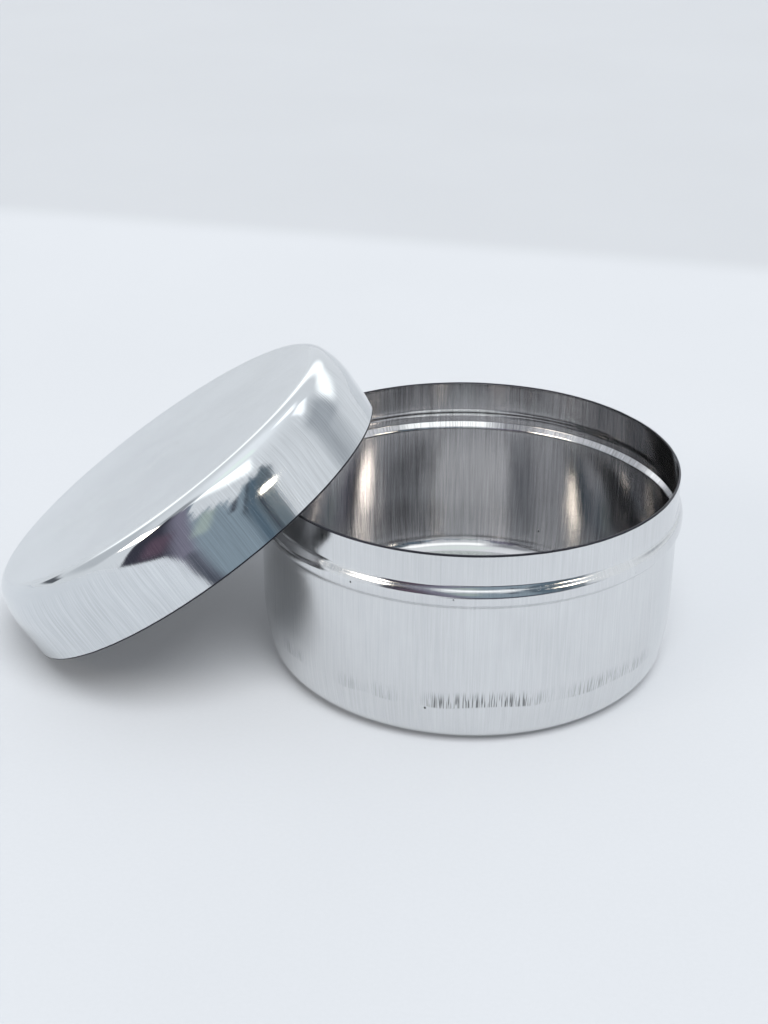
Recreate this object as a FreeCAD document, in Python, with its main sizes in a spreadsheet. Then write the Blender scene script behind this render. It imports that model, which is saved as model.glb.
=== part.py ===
import FreeCAD, Part
import math
import os
import Sketcher
from FreeCAD import Vector

# A round pressed-steel box: an open container with a beaded neck, and a cap-like lid that lies
# against it with its open edge on the rim. Lengths are in millimetres and angles in degrees.
# The origin is the centre of the container's base, +Z is up and the lid lies towards -X.
DIMENSIONS = {
    "sheet_gauge": 0.55,
    # container
    "rim_height": 54.2,
    "neck_radius": 55.0,
    "wall_radius": 55.0,
    "corner_radius": 6.8,
    "flank_radius": 68.0,
    "flank_height": 19.0,
    # bead below the neck, which stops the lid's skirt when the box is closed: it swells gently
    # from the neck, stands upright for a little and steps back sharply to the wall
    "bead_reach": 56.25,
    "bead_radius": 3.2,
    "bead_height": 42.9,
    "fold_radius": 2.0,
    "lip_radius": 0.8,
    "lip_height": 41.6,
    "foot_radius": 0.8,
    "foot_height": 39.5,
    # lid
    "lid_clearance": 0.3,
    "lid_depth": 21.6,
    "skirt_height": 10.1,
    "shoulder_radius": 4.5,
    "lid_flank_radius": 22.0,
    # where the lid lies
    "lid_lean": 34.8,
    "lid_offset": 72.0,
}


def make_sheet(doc):
    """Put every driving dimension into a spreadsheet cell with the dimension's own name."""
    sheet = doc.addObject("Spreadsheet::Sheet", "Sizes")
    for row, (name, value) in enumerate(DIMENSIONS.items(), start=1):
        sheet.set(f"A{row}", name)
        sheet.set(f"B{row}", str(value))
        sheet.setAlias(f"B{row}", name)
    row = len(DIMENSIONS) + 1
    sheet.set(f"A{row}", "lid_radius")
    sheet.set(f"B{row}", "=neck_radius + lid_clearance + sheet_gauge")
    sheet.setAlias(f"B{row}", "lid_radius")
    doc.recompute()
    return sheet


def section_sketch(body, name):
    """A sketch on the body's own XZ plane: its X is the radius and its Y is the height."""
    plane = next(item for item in body.Origin.OriginFeatures if item.Role == "XZ_Plane")
    sketch = body.newObject("Sketcher::SketchObject", name)
    sketch.AttachmentSupport = [(plane, "")]
    sketch.MapMode = "FlatFace"
    return sketch


def line(start, end):
    return Part.LineSegment(Vector(*start, 0), Vector(*end, 0))


def arc(centre, radius, start_angle, end_angle):
    """A counter-clockwise arc between two angles in radians."""
    circle = Part.Circle(Vector(*centre, 0), Vector(0, 0, 1), radius)
    return Part.ArcOfCircle(circle, start_angle, end_angle)


def heading(centre, target):
    return math.atan2(target[1] - centre[1], target[0] - centre[0]) % (2 * math.pi)


def close_outline(sketch, pieces, joins):
    """Add the pieces in order and join each to the next one, the last to the first.

    Each join is a constraint type and the two end numbers, 1 for a start and 2 for an end."""
    ids = [sketch.addGeometry(piece, False) for piece in pieces]
    for index, (kind, end_here, end_next) in enumerate(joins):
        following = ids[(index + 1) % len(ids)]
        sketch.addConstraint(Sketcher.Constraint(kind, ids[index], end_here, following, end_next))
    return ids


def size(sketch, name, formula, kind, *where):
    """A named dimension whose value follows a formula of spreadsheet cells."""
    value = sketch.evalExpression(formula)
    number = sketch.addConstraint(Sketcher.Constraint(kind, *where, float(value)))
    sketch.renameConstraint(number, name)
    sketch.setExpression(f"Constraints.{name}", formula)


def revolve_and_hollow(body, sketch, open_height):
    """Turn the section about the body's axis, then leave a sheet that is open at one height."""
    turned = body.newObject("PartDesign::Revolution", body.Name + "Turned")
    turned.Profile = sketch
    turned.ReferenceAxis = (sketch, ["V_Axis"])
    turned.Angle = 360.0
    body.Document.recompute()
    faces = turned.Shape.Faces
    mouth = min(range(len(faces)), key=lambda k: face_distance(faces[k], open_height))
    shell = body.newObject("PartDesign::Thickness", body.Name + "Sheet")
    shell.Base = (turned, [f"Face{mouth + 1}"])
    shell.setExpression("Value", "Sizes.sheet_gauge")
    shell.Reversed = True
    shell.Mode = "Skin"
    shell.Join = "Arc"
    body.Document.recompute()
    return shell


def face_distance(face, height):
    """How far a flat level face is from a height; any other face is out of the running."""
    box = face.BoundBox
    if box.ZLength > 1e-6:
        return math.inf
    return abs(box.ZMin - height)


def make_container(doc, d):
    body = doc.addObject("PartDesign::Body", "Container")
    body.Label = "container"
    sketch = section_sketch(body, "ContainerSection")

    wall, neck, top = d["wall_radius"], d["neck_radius"], d["rim_height"]
    flank = (wall - d["flank_radius"], d["flank_height"])
    drop = flank[1] - d["corner_radius"]
    run = math.sqrt((d["flank_radius"] - d["corner_radius"]) ** 2 - drop**2)
    corner = (flank[0] + run, d["corner_radius"])
    bead = (d["bead_reach"] - d["bead_radius"], d["bead_height"])
    fold_x = neck + d["fold_radius"]
    fold_gap = d["bead_radius"] + d["fold_radius"]
    fold = (fold_x, bead[1] + math.sqrt(fold_gap**2 - (fold_x - bead[0]) ** 2))
    lip = (d["bead_reach"] - d["lip_radius"], d["lip_height"])
    foot = (wall + d["foot_radius"], d["foot_height"])
    step_low, step_high, tilt = step_between(foot, d["foot_radius"], lip, d["lip_radius"])

    bend = heading(flank, corner)
    pieces = [
        line((0, 0), (corner[0], 0)),
        arc(corner, d["corner_radius"], -math.pi / 2, bend - 2 * math.pi),
        arc(flank, d["flank_radius"], bend - 2 * math.pi, 0),
        line((wall, flank[1]), (wall, foot[1])),
        arc(foot, d["foot_radius"], math.pi - tilt, math.pi),
        line(step_low, step_high),
        arc(lip, d["lip_radius"], -tilt, 0),
        line((d["bead_reach"], lip[1]), (d["bead_reach"], bead[1])),
        arc(bead, d["bead_radius"], 0, heading(bead, fold)),
        arc(fold, d["fold_radius"], math.pi, heading(fold, bead)),
        line((neck, fold[1]), (neck, top)),
        line((neck, top), (0, top)),
        line((0, top), (0, 0)),
    ]
    joins = [
        ("Tangent", 2, 1),
        ("Tangent", 2, 1),
        ("Tangent", 2, 1),
        ("Tangent", 2, 2),
        ("Tangent", 1, 1),
        ("Tangent", 2, 1),
        ("Tangent", 2, 1),
        ("Tangent", 2, 1),
        ("Tangent", 2, 2),
        ("Tangent", 1, 1),
        ("Coincident", 2, 1),
        ("Coincident", 2, 1),
        ("Coincident", 2, 1),
    ]
    ids = close_outline(sketch, pieces, joins)
    base, corner_id, flank_id, wall_id, foot_id, _, lip_id, face_id, bead_id, fold_id, neck_id, mouth, axis = ids
    sketch.addConstraint(Sketcher.Constraint("Coincident", base, 1, -1, 1))
    for flat in (base, mouth):
        sketch.addConstraint(Sketcher.Constraint("Horizontal", flat))
    for upright in (wall_id, face_id, neck_id, axis):
        sketch.addConstraint(Sketcher.Constraint("Vertical", upright))
    for name, piece in (
        ("corner_radius", corner_id),
        ("flank_radius", flank_id),
        ("foot_radius", foot_id),
        ("lip_radius", lip_id),
        ("bead_radius", bead_id),
        ("fold_radius", fold_id),
    ):
        size(sketch, name, f"Sizes.{name}", "Radius", piece)
    size(sketch, "rim_height", "Sizes.rim_height", "DistanceY", -1, 1, neck_id, 2)
    size(sketch, "neck_radius", "Sizes.neck_radius", "DistanceX", -1, 1, neck_id, 2)
    size(sketch, "wall_radius", "Sizes.wall_radius", "DistanceX", -1, 1, wall_id, 1)
    size(sketch, "flank_height", "Sizes.flank_height", "DistanceY", -1, 1, wall_id, 1)
    size(sketch, "foot_height", "Sizes.foot_height", "DistanceY", -1, 1, wall_id, 2)
    size(sketch, "lip_height", "Sizes.lip_height", "DistanceY", -1, 1, face_id, 1)
    size(sketch, "bead_height", "Sizes.bead_height", "DistanceY", -1, 1, face_id, 2)
    size(sketch, "bead_reach", "Sizes.bead_reach", "DistanceX", -1, 1, face_id, 1)
    revolve_and_hollow(body, sketch, top)
    return body


def step_between(foot, foot_radius, lip, lip_radius):
    """The straight step from a concave arc up to a convex one, and its tilt from upright."""
    away, up = foot[0] - lip[0], lip[1] - foot[1]
    tilt = math.asin((foot_radius + lip_radius) / math.hypot(away, up)) - math.atan2(away, up)
    c, s = math.cos(tilt), math.sin(tilt)
    low = (foot[0] - foot_radius * c, foot[1] + foot_radius * s)
    high = (lip[0] + lip_radius * c, lip[1] - lip_radius * s)
    return low, high, tilt


def make_lid(doc, d, lid_radius):
    body = doc.addObject("PartDesign::Body", "Lid")
    body.Label = "lid"
    sketch = section_sketch(body, "LidSection")

    depth, skirt = d["lid_depth"], d["skirt_height"]
    flank = (lid_radius - d["lid_flank_radius"], skirt)
    rise = depth - d["shoulder_radius"] - skirt
    run = math.sqrt((d["lid_flank_radius"] - d["shoulder_radius"]) ** 2 - rise**2)
    shoulder = (flank[0] + run, skirt + rise)
    bend = heading(flank, shoulder)
    pieces = [
        line((0, 0), (lid_radius, 0)),
        line((lid_radius, 0), (lid_radius, skirt)),
        arc(flank, d["lid_flank_radius"], 0, bend),
        arc(shoulder, d["shoulder_radius"], bend, math.pi / 2),
        line((shoulder[0], depth), (0, depth)),
        line((0, depth), (0, 0)),
    ]
    joins = [
        ("Coincident", 2, 1),
        ("Tangent", 2, 1),
        ("Tangent", 2, 1),
        ("Tangent", 2, 1),
        ("Coincident", 2, 1),
        ("Coincident", 2, 1),
    ]
    mouth, skirt_id, flank_id, shoulder_id, plate, axis = close_outline(sketch, pieces, joins)
    sketch.addConstraint(Sketcher.Constraint("Coincident", mouth, 1, -1, 1))
    for flat in (mouth, plate):
        sketch.addConstraint(Sketcher.Constraint("Horizontal", flat))
    for upright in (skirt_id, axis):
        sketch.addConstraint(Sketcher.Constraint("Vertical", upright))
    size(sketch, "lid_radius", "Sizes.lid_radius", "DistanceX", -1, 1, mouth, 2)
    size(sketch, "skirt_height", "Sizes.skirt_height", "DistanceY", -1, 1, skirt_id, 2)
    size(sketch, "lid_depth", "Sizes.lid_depth", "DistanceY", -1, 1, plate, 2)
    size(sketch, "lid_flank_radius", "Sizes.lid_flank_radius", "Radius", flank_id)
    size(sketch, "shoulder_radius", "Sizes.shoulder_radius", "Radius", shoulder_id)
    revolve_and_hollow(body, sketch, 0.0)

    # The lid leans towards -X, its lowest edge on the table and its open edge across the rim.
    body.Placement = FreeCAD.Placement(Vector(0, 0, 0), FreeCAD.Rotation(Vector(0, -1, 0), 1.0))
    body.setExpression("Placement.Rotation.Angle", "Sizes.lid_lean * 1 deg")
    body.setExpression("Placement.Base.x", "-Sizes.lid_offset * 1 mm")
    body.setExpression("Placement.Base.z", "Sizes.lid_radius * sin(Sizes.lid_lean * 1 deg) * 1 mm")
    return body


def check(doc, parts):
    """Stop before anything is written if any feature failed or any sub-part isn't one solid."""
    failed = [item.Name for item in doc.Objects if {"Invalid", "Error"} & set(item.State)]
    if failed:
        raise RuntimeError(f"features failed: {failed}")
    for body in parts:
        shape = body.Shape
        if shape.isNull() or not shape.isValid() or len(shape.Solids) != 1:
            raise RuntimeError(f"{body.Label} is not one valid solid")
        print(body.Label, "volume mm3", round(shape.Volume, 1), shape.BoundBox)


def main():
    doc = FreeCAD.newDocument("SteelBox")
    sheet = make_sheet(doc)
    parts = [make_container(doc, DIMENSIONS), make_lid(doc, DIMENSIONS, float(sheet.lid_radius))]
    doc.recompute()
    check(doc, parts)
    clearance = parts[0].Shape.distToShape(parts[1].Shape)[0]
    print("gap between lid and container mm", round(clearance, 3))
    os.makedirs("parts", exist_ok=True)
    for body in parts:
        body.Shape.exportStep(f"parts/{body.Label}.step")


main()
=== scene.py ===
import math

import bmesh
import bpy
from mathutils import Euler, Matrix, Vector, noise


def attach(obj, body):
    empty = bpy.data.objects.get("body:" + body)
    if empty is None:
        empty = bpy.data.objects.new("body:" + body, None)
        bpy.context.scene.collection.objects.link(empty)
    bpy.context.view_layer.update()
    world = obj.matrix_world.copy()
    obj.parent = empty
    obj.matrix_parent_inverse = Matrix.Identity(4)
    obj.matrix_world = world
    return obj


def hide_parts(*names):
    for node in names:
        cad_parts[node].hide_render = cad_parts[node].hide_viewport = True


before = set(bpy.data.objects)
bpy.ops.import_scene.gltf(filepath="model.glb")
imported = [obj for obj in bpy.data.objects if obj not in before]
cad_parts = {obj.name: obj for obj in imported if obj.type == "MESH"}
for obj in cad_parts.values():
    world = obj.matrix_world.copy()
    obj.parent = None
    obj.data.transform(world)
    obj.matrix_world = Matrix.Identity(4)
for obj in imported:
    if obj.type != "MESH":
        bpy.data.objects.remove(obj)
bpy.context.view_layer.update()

MM = 0.001

# ---------------------------------------------------------------- sizes, the same as the CAD's
GAUGE = 0.55 * MM
RIM_HEIGHT = 54.2 * MM
NECK_RADIUS = 55.0 * MM
WALL_RADIUS = 55.0 * MM
CORNER_RADIUS = 6.8 * MM
FLANK_RADIUS = 68.0 * MM
FLANK_HEIGHT = 19.0 * MM
BEAD_REACH = 56.25 * MM
BEAD_RADIUS, BEAD_HEIGHT = 3.2 * MM, 42.9 * MM
FOLD_RADIUS = 2.0 * MM
LIP_RADIUS, LIP_HEIGHT = 0.8 * MM, 41.6 * MM
FOOT_RADIUS, FOOT_HEIGHT = 0.8 * MM, 39.5 * MM
LID_CLEARANCE = 0.3 * MM
LID_RADIUS = NECK_RADIUS + LID_CLEARANCE + GAUGE
LID_DEPTH = 21.6 * MM
SKIRT_HEIGHT = 10.1 * MM
SHOULDER_RADIUS = 4.5 * MM
LID_FLANK_RADIUS = 22.0 * MM
LID_LEAN = math.radians(34.8)
LID_OFFSET = 72.0 * MM
LID_PLACE = Vector((-LID_OFFSET, 0, LID_RADIUS * math.sin(LID_LEAN)))
LID_TURN = Euler((0, -LID_LEAN, 0))

CUT_EASE = 0.22 * MM
CUT_BURR = 0.25 * MM
LEAST_STEP = 0.01 * MM
HUB_RADIUS = 2 * MM
OUTSIDE, INSIDE, CUT_EDGE = 0, 1, 2
SEGMENTS = 384
EASE_POINTS = 4
UV_PER_METRE = 5


# ---------------------------------------------------------------- outlines
def line_stations(start, end, normal, step):
    """Stations (radius, height, normal) along a straight stretch, without its last point."""
    count = max(1, round(math.dist(start, end) / step))
    return [
        (start[0] + (end[0] - start[0]) * k / count, start[1] + (end[1] - start[1]) * k / count, *normal)
        for k in range(count)
    ]


def arc_stations(centre, radius, start, end, count, side=1):
    """Stations along an arc, without its last point. side is -1 where the sheet curves inwards."""
    out = []
    for k in range(count):
        angle = start + (end - start) * k / count
        c, s = math.cos(angle), math.sin(angle)
        out.append((centre[0] + radius * c, centre[1] + radius * s, side * c, side * s))
    return out


def heading(centre, target):
    """The angle of the target seen from the centre."""
    return math.atan2(target[1] - centre[1], target[0] - centre[0])


def step_between(foot, lip):
    """The straight step from the bead's concave foot up to its convex lip, and its tilt."""
    away, up = foot[0] - lip[0], lip[1] - foot[1]
    tilt = math.asin((FOOT_RADIUS + LIP_RADIUS) / math.hypot(away, up)) - math.atan2(away, up)
    c, s = math.cos(tilt), math.sin(tilt)
    low = (foot[0] - FOOT_RADIUS * c, foot[1] + FOOT_RADIUS * s)
    high = (lip[0] + LIP_RADIUS * c, lip[1] - LIP_RADIUS * s)
    return low, high, tilt


def container_outline():
    """From the middle of the base out and up to the rim, with the end point of the cut edge."""
    flank = (WALL_RADIUS - FLANK_RADIUS, FLANK_HEIGHT)
    drop = FLANK_HEIGHT - CORNER_RADIUS
    corner = (flank[0] + math.sqrt((FLANK_RADIUS - CORNER_RADIUS) ** 2 - drop**2), CORNER_RADIUS)
    bead = (BEAD_REACH - BEAD_RADIUS, BEAD_HEIGHT)
    fold_x, fold_gap = NECK_RADIUS + FOLD_RADIUS, BEAD_RADIUS + FOLD_RADIUS
    fold = (fold_x, bead[1] + math.sqrt(fold_gap**2 - (fold_x - bead[0]) ** 2))
    lip = (BEAD_REACH - LIP_RADIUS, LIP_HEIGHT)
    foot = (WALL_RADIUS + FOOT_RADIUS, FOOT_HEIGHT)
    step_low, step_high, tilt = step_between(foot, lip)
    step_normal = (math.cos(tilt), -math.sin(tilt))
    bend = heading(flank, corner)
    return [
        *line_stations((HUB_RADIUS, 0), (corner[0], 0), (0, -1), 2 * MM),
        *arc_stations(corner, CORNER_RADIUS, -math.pi / 2, bend, 16),
        *arc_stations(flank, FLANK_RADIUS, bend, 0, 14),
        *line_stations((WALL_RADIUS, FLANK_HEIGHT), (WALL_RADIUS, foot[1]), (1, 0), 1 * MM),
        *arc_stations(foot, FOOT_RADIUS, math.pi, math.pi - tilt, 7, -1),
        *line_stations(step_low, step_high, step_normal, 0.3 * MM),
        *arc_stations(lip, LIP_RADIUS, -tilt, 0, 7),
        *line_stations((BEAD_REACH, lip[1]), (BEAD_REACH, bead[1]), (1, 0), 0.5 * MM),
        *arc_stations(bead, BEAD_RADIUS, 0, heading(bead, fold), 12),
        *arc_stations(fold, FOLD_RADIUS, heading(fold, bead) + 2 * math.pi, math.pi, 10, -1),
        *line_stations((NECK_RADIUS, fold[1]), (NECK_RADIUS, RIM_HEIGHT), (1, 0), 1 * MM),
    ], (NECK_RADIUS, RIM_HEIGHT)


def lid_outline():
    """From the middle of the top plate out to the open edge, in the lid's own frame."""
    flank = (LID_RADIUS - LID_FLANK_RADIUS, SKIRT_HEIGHT)
    rise = LID_DEPTH - SHOULDER_RADIUS - SKIRT_HEIGHT
    run = math.sqrt((LID_FLANK_RADIUS - SHOULDER_RADIUS) ** 2 - rise**2)
    shoulder = (flank[0] + run, SKIRT_HEIGHT + rise)
    bend = heading(flank, shoulder)
    return [
        *line_stations((HUB_RADIUS, LID_DEPTH), (shoulder[0], LID_DEPTH), (0, 1), 2 * MM),
        *arc_stations(shoulder, SHOULDER_RADIUS, math.pi / 2, bend, 14),
        *arc_stations(flank, LID_FLANK_RADIUS, bend, 0, 12),
        *line_stations((LID_RADIUS, SKIRT_HEIGHT), (LID_RADIUS, 0), (1, 0), 1 * MM),
    ], (LID_RADIUS, 0.0)


# ---------------------------------------------------------------- sheet-metal shells
def edge_stations(tip, direction):
    """The raw cut edge between the two skins: flat, with its corners just eased."""
    ease = CUT_EASE
    r, z = tip
    out = []
    for centre_r, start in ((r - ease, 0.0), (r - GAUGE + ease, math.pi / 2)):
        for k in range(EASE_POINTS):
            angle = start + math.pi / 2 * k / (EASE_POINTS - 1)
            c, s = math.cos(angle), math.sin(angle) * direction
            out.append((centre_r + ease * c, z - ease * direction + ease * s, c, s))
    return out


def lathe_shell(name, outline, wobble, place=None, turn=None):
    """A closed sheet-metal shell turned from an outline, with its unevenness worked in.

    wobble(angle, radius, height) gives how far a point stands off along its normal and how far the
    cut edge rises there. Both skins use the same shift, so the sheet keeps its thickness."""
    stations, tip = outline
    tip_direction = 1 if tip[1] > stations[0][1] else -1
    stop = tip[1] - CUT_EASE * tip_direction
    outer = [s for s in stations if (stop - s[1]) * tip_direction > CUT_BURR + LEAST_STEP]
    outer.append((tip[0], stop - CUT_BURR * tip_direction, 1, 0))
    inner = [(r - GAUGE * nr, z - GAUGE * nz, -nr, -nz) for r, z, nr, nz in reversed(stations)]
    inner = [s for s in inner if (stop - s[1]) * tip_direction > LEAST_STEP]
    path = outer + edge_stations(tip, tip_direction) + inner
    lengths = [0.0]
    for a, b in zip(path, path[1:]):
        lengths.append(lengths[-1] + math.dist(a[:2], b[:2]))

    bm = bmesh.new()
    uv = bm.loops.layers.uv.new("UVMap")
    rings = []
    for index, (r, z, nr, nz) in enumerate(path):
        ring = []
        for k in range(SEGMENTS):
            angle = 2 * math.pi * k / SEGMENTS
            off, lift = wobble(angle, r, z)
            outward = off if index < len(outer) + EASE_POINTS else -off
            rr, zz = r + nr * outward, z + nz * outward + lift
            ring.append(bm.verts.new((rr * math.cos(angle), rr * math.sin(angle), zz)))
        rings.append(ring)
    caps = []
    for (_, z, _, normal), sign in ((path[0], 1), (path[-1], -1)):
        off, _ = wobble(0.0, 0.0, z)
        caps.append(bm.verts.new((0, 0, z + normal * off * sign)))
    around = 2 * math.pi * NECK_RADIUS * UV_PER_METRE
    for index, (low, high) in enumerate(zip(rings, rings[1:])):
        for k in range(SEGMENTS):
            nxt = (k + 1) % SEGMENTS
            face = bm.faces.new((low[k], low[nxt], high[nxt], high[k]))
            if index < len(outer) - 1:
                face.material_index = OUTSIDE
            elif index < len(outer) + 2 * EASE_POINTS - 1:
                face.material_index = CUT_EDGE
            else:
                face.material_index = INSIDE
            corners = ((k, index), (k + 1, index), (k + 1, index + 1), (k, index + 1))
            for loop, (u, v) in zip(face.loops, corners):
                loop[uv].uv = (u / SEGMENTS * around, lengths[v] * UV_PER_METRE)
    for cap, ring, flip in ((caps[0], rings[0], True), (caps[1], rings[-1], False)):
        for k in range(SEGMENTS):
            nxt = (k + 1) % SEGMENTS
            order = (cap, ring[nxt], ring[k]) if flip else (cap, ring[k], ring[nxt])
            face = bm.faces.new(order)
            face.material_index = OUTSIDE if flip else INSIDE
            for loop in face.loops:
                loop[uv].uv = (k / SEGMENTS * around, 0)
    bmesh.ops.recalc_face_normals(bm, faces=bm.faces)
    mesh = bpy.data.meshes.new(name)
    bm.to_mesh(mesh)
    bm.free()
    for polygon in mesh.polygons:
        polygon.use_smooth = True
    if place is not None:
        mesh.transform(Matrix.Translation(place) @ turn.to_matrix().to_4x4())
    piece = bpy.data.objects.new(name, mesh)
    bpy.context.scene.collection.objects.link(piece)
    return piece


def smooth_step(low, high, value):
    """0 up to low, 1 from high, and smooth between them."""
    t = min(1.0, max(0.0, (value - low) / (high - low)))
    return t * t * (3 - 2 * t)


def ripple(angle, height, lobes, seed):
    """Smooth noise on a drum, the same at both ends of the turn."""
    reach = lobes / (2 * math.pi)
    return noise.noise(Vector((reach * math.cos(angle), reach * math.sin(angle), height + seed)))


def container_wobble(angle, r, z):
    """How far the container's sheet stands off along its normal, and how far its rim dips."""
    middle = smooth_step(0, 0.8 * WALL_RADIUS, r)
    off = middle * 0.06 * MM * ripple(angle, z / (30 * MM), 6, 3.1)
    off += middle * 0.012 * MM * ripple(angle, z / (6 * MM), 60, 7.7)
    near_rim = smooth_step(RIM_HEIGHT - 4 * MM, RIM_HEIGHT, z)
    off += near_rim * 0.05 * MM * ripple(angle, 0, 24, 1.3)
    lift = near_rim * (0.10 * MM * ripple(angle, 0, 9, 5.5) + 0.05 * MM * ripple(angle, 0, 150, 2.2))
    return off, min(lift, 0)


def lid_wobble(angle, r, z):
    """The same for the lid, whose open edge is at the bottom of its own frame."""
    middle = smooth_step(0, 0.8 * LID_RADIUS, r)
    off = middle * 0.06 * MM * ripple(angle, z / (24 * MM), 7, 12.4)
    off += middle * 0.012 * MM * ripple(angle, z / (6 * MM), 50, 4.4)
    near_rim = 1 - smooth_step(0, 4 * MM, z)
    off += near_rim * 0.05 * MM * ripple(angle, 0, 20, 9.1)
    lift = near_rim * (0.08 * MM * ripple(angle, 0, 8, 6.1) + 0.04 * MM * ripple(angle, 0, 140, 8.8))
    return off, max(lift, 0)


# ---------------------------------------------------------------- steel
class Nodes:
    """Short ways to add and join shader nodes."""

    def __init__(self, tree):
        self.tree = tree

    def add(self, kind, **values):
        node = self.tree.nodes.new(kind)
        for name, value in values.items():
            setattr(node, name, value)
        return node

    def link(self, source, target):
        self.tree.links.new(source, target)

    def feed(self, sockets, values):
        """Link each socket to its value where that is another node's output, or else set it."""
        for socket, value in zip(sockets, values):
            if isinstance(value, bpy.types.NodeSocket):
                self.link(value, socket)
            else:
                socket.default_value = value

    def math(self, operation, a, b=0.0, clamp=False):
        node = self.add("ShaderNodeMath", operation=operation, use_clamp=clamp)
        self.feed(node.inputs, (a, b))
        return node.outputs[0]

    def times(self, *values):
        product = values[0]
        for value in values[1:]:
            product = self.math("MULTIPLY", product, value)
        return product

    def dimmed(self, mask, share):
        """1 where the mask is 0, and lower by the share where it is 1."""
        return self.math("SUBTRACT", 1.0, self.times(mask, share))

    def centred(self, value, factor):
        """A noise value's distance from its middle, times a factor."""
        return self.times(self.math("SUBTRACT", value, 0.5), factor)

    def ramp(self, value, low, high, out_low=0.0, out_high=1.0):
        node = self.add("ShaderNodeMapRange", interpolation_type="SMOOTHSTEP")
        self.link(value, node.inputs["Value"])
        names = ("From Min", "From Max", "To Min", "To Max")
        for name, number in zip(names, (low, high, out_low, out_high)):
            node.inputs[name].default_value = number
        return node.outputs["Result"]

    def scaled(self, vector, scale):
        node = self.add("ShaderNodeVectorMath", operation="MULTIPLY")
        self.link(vector, node.inputs[0])
        node.inputs[1].default_value = scale
        return node.outputs[0]

    def tinted(self, colour, shade):
        node = self.add("ShaderNodeVectorMath", operation="SCALE")
        node.inputs[0].default_value = colour
        self.link(shade, node.inputs["Scale"])
        return node.outputs[0]

    def split(self, vector):
        node = self.add("ShaderNodeSeparateXYZ")
        self.link(vector, node.inputs[0])
        return node.outputs

    def joined(self, x, y, z):
        node = self.add("ShaderNodeCombineXYZ")
        self.feed(node.inputs, (x, y, z))
        return node.outputs[0]

    def on_drum(self, vector, height):
        """The point pushed out to one radius, so that a streak runs straight up a curved wall."""
        flat = self.add("ShaderNodeVectorMath", operation="NORMALIZE")
        self.link(self.scaled(vector, (1, 1, 0)), flat.inputs[0])
        x, y, _ = self.split(self.scaled(flat.outputs[0], (WALL_RADIUS,) * 3))
        return self.joined(x, y, height)

    def noise(self, vector, scale, detail=2.0, roughness=0.5):
        node = self.add("ShaderNodeTexNoise", noise_dimensions="3D")
        self.link(vector, node.inputs["Vector"])
        node.inputs["Scale"].default_value = scale
        node.inputs["Detail"].default_value = detail
        node.inputs["Roughness"].default_value = roughness
        return node.outputs["Fac"]

    def mix(self, factor, a, b):
        node = self.add("ShaderNodeMix", data_type="RGBA", blend_type="MIX")
        self.feed((node.inputs[0], node.inputs[6], node.inputs[7]), (factor, a, b))
        return node.outputs[2]

    def patch(self, across, up, sides, levels, soft):
        """1 inside a rectangle of a picture, between two sides and two levels, with soft edges."""
        return self.times(
            self.ramp(across, sides[0] - soft, sides[0] + soft),
            self.ramp(across, sides[1] - soft, sides[1] + soft, 1, 0),
            self.ramp(up, levels[0] - soft, levels[0] + soft),
            self.ramp(up, levels[1] - soft, levels[1] + soft, 1, 0),
        )


def pit_marks(n, coords):
    """A few fine pits, thinly scattered."""
    cells = n.add("ShaderNodeTexVoronoi", feature="F1")
    n.link(n.scaled(coords, (1, 1, 0.8)), cells.inputs["Vector"])
    cells.inputs["Scale"].default_value = 160
    pick = n.add("ShaderNodeSeparateColor")
    n.link(cells.outputs["Color"], pick.inputs[0])
    round_spot = n.ramp(cells.outputs["Distance"], 0.035, 0.065, 1.0, 0.0)
    return n.times(round_spot, n.ramp(pick.outputs[0], 0.90, 0.92))


def drawing_marks(n, x, y, height, drum):
    """Short upright ticks in a band above the rounded corner, closest together on the front."""
    ring = n.scaled(drum, (1, 1, 0))
    level = n.math("ADD", height, n.centred(n.noise(ring, 120, 0), 1.5 * MM))
    band = n.times(n.ramp(level, 11.4 * MM, 12.0 * MM), n.ramp(level, 13.2 * MM, 17.0 * MM, 1.0, 0.0))
    worn = n.patch(x, y, (-6 * MM, 19 * MM), (-60 * MM, -40 * MM), 2 * MM)
    patchy = n.math("MAXIMUM", worn, n.ramp(n.noise(ring, 60, 1), 0.42, 0.66, 0.0, 0.55))
    ticks = n.ramp(n.noise(n.scaled(drum, (1, 1, 0.04)), 4200, 0, 0.5), 0.50, 0.60)
    return n.times(band, patchy, ticks)


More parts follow.
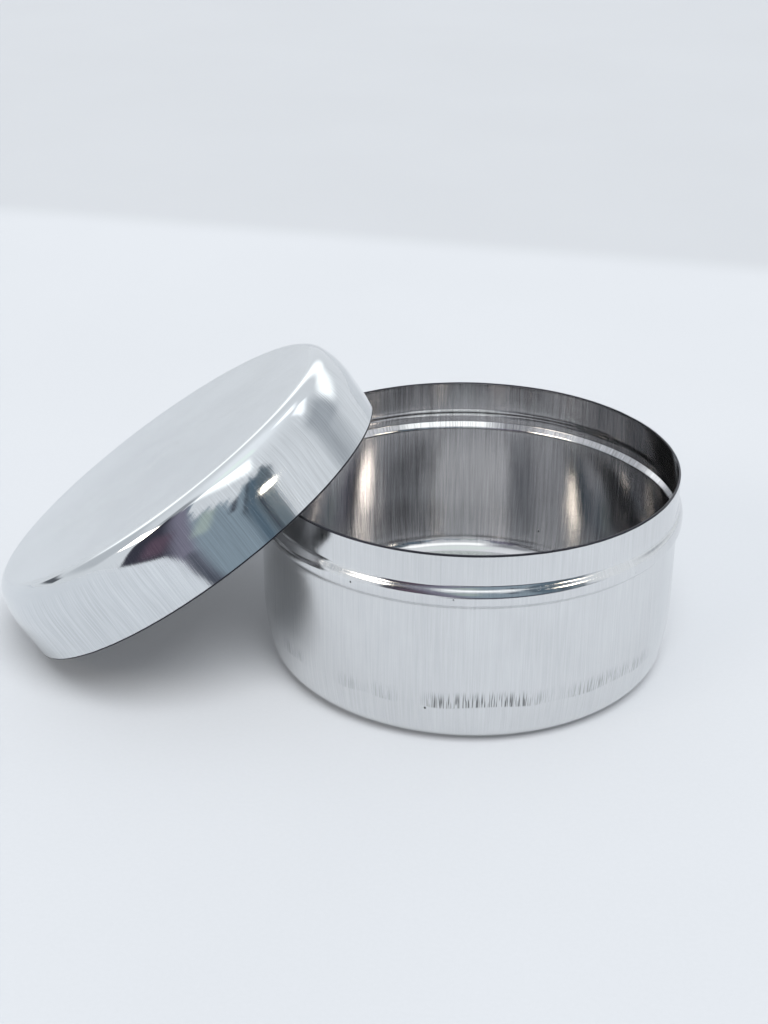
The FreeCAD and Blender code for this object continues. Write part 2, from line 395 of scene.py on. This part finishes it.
def steel(name, tint, finish, polish, frame_of=None, satin=None, draw_marks=False):
    """Drawn stainless sheet: upright grain, faint stains, pits and, near the corner, draw marks.

    finish holds the roughness; streaks, how far the grain bends the reflections; contrast, how far it
    darkens them; spread, how much further they blur one way than the other; and across, 0 where that
    way is round the piece and 0.25 where it is up and down. The grain fades out between the two
    heights of polish, and the surface turns from glossy to satin between the two heights of satin."""
    roughness, contrast = finish["roughness"], finish["contrast"]
    material = bpy.data.materials.new(name)
    material.use_nodes = True
    material.node_tree.nodes.clear()
    n = Nodes(material.node_tree)
    out = n.add("ShaderNodeOutputMaterial")
    shader = n.add("ShaderNodeBsdfPrincipled")
    n.link(shader.outputs[0], out.inputs[0])
    shader.inputs["Metallic"].default_value = 1.0

    coords = n.add("ShaderNodeTexCoord").outputs["Object"]
    if frame_of is not None:
        local = n.add("ShaderNodeMapping", vector_type="TEXTURE")
        n.link(coords, local.inputs["Vector"])
        local.inputs["Location"].default_value, local.inputs["Rotation"].default_value = frame_of
        coords = local.outputs[0]
    x, y, height = n.split(coords)
    drum = n.on_drum(coords, height)

    # grain, in three sizes, which fades where the sheet was polished
    keep = n.ramp(height, polish[0], polish[1], 1.0, 0.06)
    fine = n.noise(n.scaled(drum, (1, 1, 0.02)), 3200, 2, 0.6)
    medium = n.noise(n.scaled(drum, (1, 1, 0.03)), 1700, 2, 0.6)
    broad = n.noise(n.scaled(drum, (1, 1, 0.06)), 260, 2, 0.5)
    grain = n.math("ADD", n.times(fine, 0.65), n.times(medium, 0.35))
    grain = n.math("ADD", n.centred(grain, keep), 0.5)
    broad = n.math("ADD", n.centred(broad, keep), 0.5)
    line = n.times(n.ramp(n.noise(n.scaled(drum, (1, 1, 0.012)), 1000, 1, 0.5), 0.70, 0.78), keep)
    dot = pit_marks(n, coords)

    cloud = n.noise(coords, 45, 4, 0.6)
    shade = n.times(n.ramp(grain, 0.3, 0.7, 1 - contrast, 1 + contrast), n.ramp(cloud, 0.3, 0.7, 0.97, 1.02))
    shade = n.times(shade, n.dimmed(line, 0.12), n.dimmed(dot, 0.75))
    relief = n.math("ADD", grain, n.times(broad, 0.2))
    relief = n.math("SUBTRACT", relief, n.times(dot, 0.8))
    if draw_marks:
        marks = drawing_marks(n, x, y, height, drum)
        shade = n.times(shade, n.dimmed(marks, 0.68))
        relief = n.math("SUBTRACT", relief, n.times(marks, 0.6))
    n.link(n.tinted(tint, shade), shader.inputs["Base Color"])

    smudge = n.noise(n.scaled(coords, (1, 1, 1.7)), 18, 5, 0.65)
    rough = n.times(
        n.ramp(grain, 0.25, 0.75, roughness * 0.8, roughness * 1.25),
        n.ramp(smudge, 0.35, 0.7, 0.85, 1.25),
        n.ramp(height, polish[0], polish[1], 1.0, 0.55),
    )
    if satin is not None:
        rough = n.times(rough, n.ramp(height, satin[0], satin[1], 1.0, 4.5))
    rough = n.math("ADD", rough, n.times(dot, 0.3), clamp=True)
    n.link(rough, shader.inputs["Roughness"])
    shader.inputs["Anisotropic"].default_value = finish["spread"]
    shader.inputs["Anisotropic Rotation"].default_value = finish["across"]
    tangent = n.add("ShaderNodeTangent", direction_type="UV_MAP", uv_map="UVMap")
    n.link(tangent.outputs[0], shader.inputs["Tangent"])

    bump = n.add("ShaderNodeBump")
    bump.inputs["Strength"].default_value = finish["streaks"]
    bump.inputs["Distance"].default_value = 0.01 * MM
    n.link(relief, bump.inputs["Height"])
    n.link(bump.outputs[0], shader.inputs["Normal"])
    return material


WALL_FINISH = {"roughness": 0.13, "streaks": 0.22, "contrast": 0.05, "spread": 0.6, "across": 0.0}
LID_FINISH = {"roughness": 0.075, "streaks": 1.0, "contrast": 0.10, "spread": 0.5, "across": 0.0}
INSIDE_FINISH = {"roughness": 0.14, "streaks": 0.5, "contrast": 0.20, "spread": 0.8, "across": 0.25}
EDGE_FINISH = {"roughness": 0.35, "streaks": 0.5, "contrast": 0.1, "spread": 0.0, "across": 0.0}
WALL_TINT, LID_TINT = (0.735, 0.745, 0.75), (0.705, 0.73, 0.745)
# The cut edges are near black: painted shade, a dark line along both open edges in place of the shade their
# steel would mirror.
# The insides take a darker copy of the steel's colour: part steel colour, part painted shade that deepens the
# dimness inside the container and the lid.
INSIDE_TINT_AND_PAINTED_SHADE, EDGE_PAINTED_SHADE = (0.612, 0.61, 0.618), (0.05, 0.05, 0.06)
FOOT_POLISH, TOP_POLISH = (5 * MM, 2 * MM), (16 * MM, 19 * MM)
SATIN_TOP = (LID_DEPTH - 0.30 * MM, LID_DEPTH - 0.08 * MM)


def make_object():
    container = lathe_shell("container_shell", container_outline(), container_wobble)
    for material in (
        steel("container_outside", WALL_TINT, WALL_FINISH, FOOT_POLISH, draw_marks=True),
        steel("container_inside", INSIDE_TINT_AND_PAINTED_SHADE, INSIDE_FINISH, FOOT_POLISH),
        steel("container_cut_edge_painted_shade", EDGE_PAINTED_SHADE, EDGE_FINISH, FOOT_POLISH),
    ):
        container.data.materials.append(material)
    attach(container, "container")
    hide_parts("container")

    frame_of_lid = (LID_PLACE, LID_TURN)
    lid = lathe_shell("lid_shell", lid_outline(), lid_wobble, *frame_of_lid)
    for material in (
        steel("lid_outside", LID_TINT, LID_FINISH, TOP_POLISH, frame_of_lid, SATIN_TOP),
        steel("lid_inside", INSIDE_TINT_AND_PAINTED_SHADE, INSIDE_FINISH, TOP_POLISH, frame_of_lid),
        steel("lid_cut_edge_painted_shade", EDGE_PAINTED_SHADE, EDGE_FINISH, TOP_POLISH, frame_of_lid),
    ):
        lid.data.materials.append(material)
    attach(lid, "lid")
    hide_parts("lid")


# ---------------------------------------------------------------- room
TABLE_RADIUS = 4.0
SHEET_EDGE = (0.345, 0.375)
SHEET_SKEW = 0.145


def make_floor():
    """A pale table top, with the edge of the paper sheet that the object stands on lying behind it."""
    bm = bmesh.new()
    bmesh.ops.create_circle(bm, cap_ends=True, segments=96, radius=TABLE_RADIUS)
    mesh = bpy.data.meshes.new("table")
    bm.to_mesh(mesh)
    bm.free()
    table = bpy.data.objects.new("table", mesh)
    bpy.context.scene.collection.objects.link(table)

    material = bpy.data.materials.new("paper")
    material.use_nodes = True
    n = Nodes(material.node_tree)
    shader = material.node_tree.nodes["Principled BSDF"]
    shader.inputs["Roughness"].default_value = 0.9
    shader.inputs["Specular IOR Level"].default_value = 0.1
    coords = n.add("ShaderNodeTexCoord").outputs["Object"]
    x, y, _ = n.split(coords)
    sheet = n.ramp(n.math("ADD", y, n.times(x, SHEET_SKEW)), *SHEET_EDGE, 1.0, 0.875)
    fibre = n.ramp(n.noise(coords, 900, 2), 0.3, 0.7, 0.992, 1.008)
    stain = n.ramp(n.noise(coords, 7, 3), 0.3, 0.7, 0.99, 1.01)
    n.link(n.tinted((0.286, 0.297, 0.313), n.times(sheet, fibre, stain)), shader.inputs["Base Color"])
    # The paper glows faintly: painted light that lifts the shadows on the table.
    shader.inputs["Emission Color"].default_value = (0.80, 0.83, 0.88, 1)
    shader.inputs["Emission Strength"].default_value = 0.125
    table.data.materials.append(material)


def make_card(name, corners, paint):
    """A glowing card in front of the table that shows in the steel only: a painted reflection.

    paint(nodes, x, y, z), with the point in millimetres, gives how solid the card is and its colour."""
    mesh = bpy.data.meshes.new(name)
    mesh.from_pydata([[v * MM for v in corner] for corner in corners], [], [range(len(corners))])
    card = bpy.data.objects.new(name, mesh)
    bpy.context.scene.collection.objects.link(card)
    card.visible_camera = card.visible_diffuse = card.visible_shadow = False

    material = bpy.data.materials.new(name + "_reflection_glow")
    material.use_nodes = True
    material.node_tree.nodes.clear()
    n = Nodes(material.node_tree)
    millimetres = n.scaled(n.add("ShaderNodeTexCoord").outputs["Object"], (1 / MM,) * 3)
    solid, colour = paint(n, *n.split(millimetres))
    glow = n.add("ShaderNodeEmission")
    n.link(colour, glow.inputs["Color"])
    clear = n.add("ShaderNodeBsdfTransparent")
    blend = n.add("ShaderNodeMixShader")
    n.feed(blend.inputs, (solid, clear.outputs[0], glow.outputs[0]))
    n.link(blend.outputs[0], n.add("ShaderNodeOutputMaterial").inputs[0])
    mesh.materials.append(material)


def paint_figure(n, x, y, z):
    """Whoever stands at the table, as a painted reflection on a glowing card: dark clothing on the left,
    paler in the middle, and a creased sleeve on the right with a slanting lamp beside it."""
    lean = n.math("ADD", x, n.times(z, 0.45))
    colour = n.mix(n.ramp(lean, -75, 5), (0.05, 0.05, 0.07, 1), (0.23, 0.22, 0.29, 1))
    colour = n.mix(n.ramp(lean, 15, 60), colour, (0.28, 0.35, 0.41, 1))
    colour = n.mix(n.ramp(x, 190, 260), colour, (0.10, 0.15, 0.20, 1))
    for sides, levels, soft, tone in (
        ((-165, -90), (60, 145), 25, (0.125, 0.085, 0.12, 1)),
        ((-10, 45), (95, 215), 18, (0.42, 0.50, 0.48, 1)),
        ((-5, 300), (-20, 22), 12, (0.09, 0.10, 0.13, 1)),
        ((128, 156), (150, 260), 7, (0.06, 0.06, 0.08, 1)),
        ((205, 228), (120, 360), 7, (0.05, 0.06, 0.08, 1)),
    ):
        colour = n.mix(n.patch(x, z, sides, levels, soft), colour, tone)

    sleeve = n.ramp(x, 270, 330)
    folds = n.noise(n.joined(x, 0.0, n.times(z, 0.08)), 0.035, 2, 0.6)
    creases = n.times(sleeve, n.ramp(folds, 0.44, 0.54), 0.9)
    colour = n.mix(sleeve, colour, (0.24, 0.30, 0.34, 1))
    colour = n.mix(creases, colour, (0.04, 0.05, 0.07, 1))
    slant = n.math("SUBTRACT", z, n.times(x, 0.42))
    colour = n.mix(n.patch(x, slant, (370, 600), (62, 124), 9), colour, (13.0, 11.6, 9.6, 1))

    top = n.math("ADD", n.ramp(x, -95, -65, 335, 215), n.ramp(x, 100, 260, 0, 185))
    top = n.math("ADD", top, n.ramp(x, 300, 390, 0, 190))
    top = n.math("ADD", top, n.ramp(folds, 0.3, 0.7, -35, 35))
    hem = n.ramp(x, -90, 10, 44, -12)
    solid = n.times(
        n.ramp(n.math("SUBTRACT", z, top), -18, 18, 1, 0),
        n.ramp(n.math("SUBTRACT", z, hem), -6, 6),
        n.ramp(x, -240, -224),
        n.ramp(x, 530, 620, 1, 0),
    )
    return solid, colour


def paint_apron(n, x, y, z):
    """A painted reflection on a glowing card: the dark floor in front of the table's edge."""
    edge = n.math("ADD", x, n.times(y, 0.45))
    solid = n.times(n.ramp(edge, -125, -100), n.ramp(y, -200, -180, 1, 0))
    return solid, n.mix(n.ramp(x, 0, 200), (0.11, 0.11, 0.14, 1), (0.07, 0.08, 0.11, 1))


# Glowing cards that the camera, diffuse light and shadows pass through: painted reflections in the steel.
def make_cards():
    left, right, far, near = -260, 700, -300, -170
    make_card(
        "figure", ((left, far, 0), (right, far, 0), (right, far, 660), (left, far, 660)), paint_figure
    )
    left, lift = -150, 0.5
    make_card(
        "apron", ((left, far, lift), (right, far, lift), (right, near, lift), (left, near, lift)), paint_apron
    )


# Soft areas of the room, seen from the table in degrees: (turn from the front, + to the right),
# (height), softness, share of the tone and the tone.
ROOM = (
    ((108, 138), (12, 40), 7, 0.75, (0.31, 0.34, 0.38, 1)),
    ((-112, -64), (12, 40), 6, 0.42, (0.31, 0.34, 0.38, 1)),
    ((-46, -18), (40, 58), 5, 1.0, (0.36, 0.38, 0.41, 1)),
    ((-10, 52), (47, 60), 4, 1.0, (1.70, 1.76, 1.76, 1)),
    ((-28, 62), (66, 85), 5, 1.0, (1.05, 1.16, 1.13, 1)),
    ((119, 140), (44, 54), 3, 1.0, (1.50, 1.55, 1.60, 1)),
    ((138, 172), (58, 74), 4, 1.0, (1.50, 1.55, 1.60, 1)),
    ((-122, -99), (3.5, 9), 1.5, 1.0, (0.13, 0.14, 0.16, 1)),
    ((-59, -31), (25, 37), 2, 1.0, (8.5, 7.6, 6.6, 1)),
)


def make_light():
    """A pale studio: an even tent of light, brighter behind and overhead, with a warm window."""
    world = bpy.data.worlds.new("studio")
    bpy.context.scene.world = world
    world.use_nodes = True
    n = Nodes(world.node_tree)
    x, y, z = n.split(n.add("ShaderNodeTexCoord").outputs["Generated"])
    height = n.math("DEGREES", n.math("ARCSINE", z))
    turn = n.math("DEGREES", n.math("ARCTAN2", x, n.times(y, -1)))
    turn_from_back = n.math("DEGREES", n.math("ARCTAN2", x, y))

    light = n.mix(n.ramp(height, 45, 80), (0.81, 0.84, 0.88, 1), (1.06, 1.10, 1.15, 1))
    behind = n.patch(turn_from_back, height, (-62, 41), (18, 32), 5)
    light = n.mix(behind, light, (1.55, 1.60, 1.62, 1))
    for sides, levels, soft, share, tone in ROOM:
        light = n.mix(n.times(n.patch(turn, height, sides, levels, soft), share), light, tone)
    n.link(light, world.node_tree.nodes["Background"].inputs[0])

    data = bpy.data.lights.new("softbox", "SUN")
    data.energy = 5.2
    data.angle = math.radians(38)
    lamp = bpy.data.objects.new("softbox", data)
    lamp.rotation_euler = Vector((0.2, -0.58, 1.0)).to_track_quat("Z", "Y").to_euler()
    lamp.visible_glossy = False
    bpy.context.scene.collection.objects.link(lamp)


def make_camera():
    data = bpy.data.cameras.new("camera")
    data.lens = 59.8
    data.clip_start = 0.01
    camera = bpy.data.objects.new("camera", data)
    azimuth, elevation, distance = math.radians(2.96), math.radians(30.23), 473.7 * MM
    flat = distance * math.cos(elevation)
    camera.location = (flat * math.sin(azimuth), -flat * math.cos(azimuth), distance * math.sin(elevation))
    aim = Vector((-22.7 * MM, 0, 37.5 * MM))
    level = (aim - camera.location).to_track_quat("-Z", "Y").to_matrix()
    camera.rotation_euler = (level @ Matrix.Rotation(math.radians(0.18), 3, "Z")).to_euler()
    bpy.context.scene.collection.objects.link(camera)
    bpy.context.scene.camera = camera


make_object()
make_floor()
make_cards()
make_light()
make_camera()
bpy.context.scene.view_settings.view_transform = "Standard"
